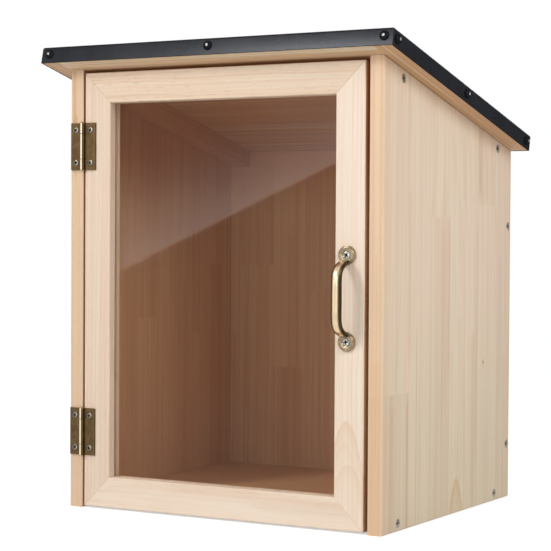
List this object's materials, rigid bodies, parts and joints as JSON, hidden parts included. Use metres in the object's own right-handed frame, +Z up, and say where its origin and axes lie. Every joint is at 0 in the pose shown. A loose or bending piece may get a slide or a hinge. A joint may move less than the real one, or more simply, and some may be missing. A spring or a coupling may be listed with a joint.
{
  "type": "street book exchange box",
  "caption": "Small glazed wooden cabinet with a side-hung door and a sloping sheet metal roof, for leaving and taking books outdoors.",
  "frame": {"origin": "centre of the floor panel's underside, level with the side panels' lower edges", "axes": "+X to the right as one faces the door, +Y to the back, +Z up"},
  "size_m": [0.3156, 0.2648, 0.3678],
  "materials": {
    "side_boards": "oiled edge-glued pine, eased edges",
    "inner_boards": "planed pine",
    "roof_board": "planed pine",
    "roof_cover": "satin black coated sheet",
    "cover_screws": "gloss black domed heads",
    "door_frame": "oiled pine, mitred",
    "glazing_bead": "planed pine",
    "window": "clear, polished",
    "hinge_brass": "antique brass",
    "handle_brass": "antique brass",
    "small_screws": "bright zinc, cross slot",
    "panel_screws": "dull zinc, cross slot",
    "catch_housing": "moulded brown",
    "strike_steel": "zinc plated"
  },
  "bodies": {
    "cabinet": {"back_panel": "inner_boards", "catch_body": "catch_housing", "catch_body_screw_bottom": "small_screws", "catch_body_screw_top": "small_screws", "cover_front_screw_left": "cover_screws", "cover_front_screw_middle": "cover_screws", "cover_front_screw_right": "cover_screws", "cover_left_screw_front": "cover_screws", "cover_left_screw_middle": "cover_screws", "cover_left_screw_rear": "cover_screws", "cover_right_screw_front": "cover_screws", "cover_right_screw_middle": "cover_screws", "cover_right_screw_rear": "cover_screws", "floor_panel": "inner_boards", "left_back_screw_lower": "panel_screws", "left_back_screw_upper": "panel_screws", "left_cleat_screw_front": "panel_screws", "left_cleat_screw_rear": "panel_screws", "left_floor_screw_front": "panel_screws", "left_floor_screw_rear": "panel_screws", "left_roof_cleat": "inner_boards", "left_side_panel": "side_boards", "lower_hinge_frame_leaf": "hinge_brass", "lower_hinge_frame_screw_bottom": "small_screws", "lower_hinge_frame_screw_top": "small_screws", "lower_hinge_pin": "hinge_brass", "right_back_screw_lower": "panel_screws", "right_back_screw_upper": "panel_screws", "right_cleat_screw_front": "panel_screws", "right_cleat_screw_rear": "panel_screws", "right_floor_screw_front": "panel_screws", "right_floor_screw_rear": "panel_screws", "right_roof_cleat": "inner_boards", "right_side_panel": "side_boards", "roof_board": "roof_board", "roof_cover": "roof_cover", "upper_hinge_frame_leaf": "hinge_brass", "upper_hinge_frame_screw_bottom": "small_screws", "upper_hinge_frame_screw_top": "small_screws", "upper_hinge_pin": "hinge_brass"},
    "door": {"catch_plate": "strike_steel", "catch_plate_screw": "small_screws", "door_bottom_rail": "door_frame", "door_handle": "handle_brass", "door_left_stile": "door_frame", "door_right_stile": "door_frame", "door_top_rail": "door_frame", "door_window": "window", "glazing_bead_bottom": "glazing_bead", "glazing_bead_left": "glazing_bead", "glazing_bead_right": "glazing_bead", "glazing_bead_top": "glazing_bead", "handle_screw_bottom": "small_screws", "handle_screw_top": "small_screws", "lower_hinge_door_leaf": "hinge_brass", "lower_hinge_door_screw_bottom": "small_screws", "lower_hinge_door_screw_top": "small_screws", "upper_hinge_door_leaf": "hinge_brass", "upper_hinge_door_screw_bottom": "small_screws", "upper_hinge_door_screw_top": "small_screws"}
  },
  "joints": [
    {"name": "door_swing", "type": "hinge", "parent": "cabinet", "child": "door", "pos_m": [-0.12725, -0.1222, 0.175], "axis": [0, 0, -1], "range_deg": [0, 180]}
  ]
}
